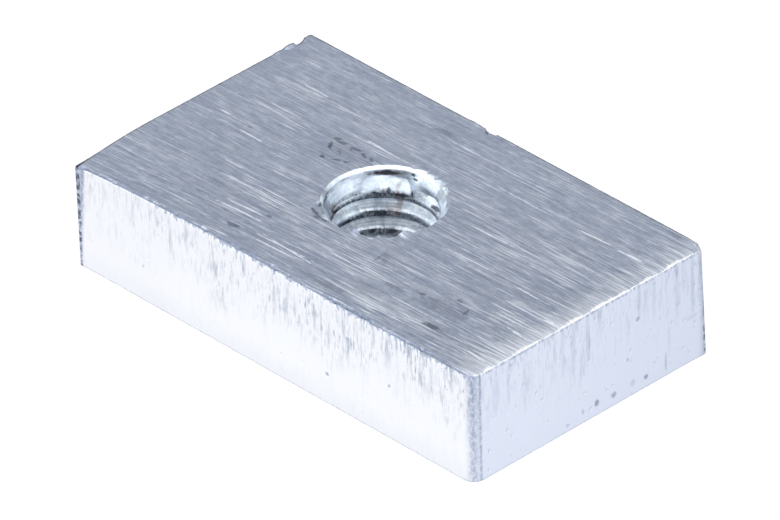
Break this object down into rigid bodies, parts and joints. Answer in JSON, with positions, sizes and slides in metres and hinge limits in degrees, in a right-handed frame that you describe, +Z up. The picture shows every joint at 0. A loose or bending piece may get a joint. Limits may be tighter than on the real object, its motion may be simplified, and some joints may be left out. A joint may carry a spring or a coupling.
{
  "type": "rectangular nut",
  "caption": "Rectangular block nut in sawn aluminium bar, with a countersunk, tapped through hole for clamping sheet, rails or blades from behind.",
  "frame": {"origin": "middle of the lower sawn face, which is the middle of the base of the bounding box", "axes": "+X along the length of the block, +Y across its width, +Z up through its thickness along the hole"},
  "size_m": [0.026, 0.015, 0.0058],
  "materials": {
    "sawn_aluminium": "bare aluminium: upper and lower faces sawn with fine scratches along the length, side faces as drawn with upright marks and small pits, burrs on the sawn edges"
  },
  "bodies": {
    "root": {"nut_block": "sawn_aluminium"}
  },
  "joints": []
}
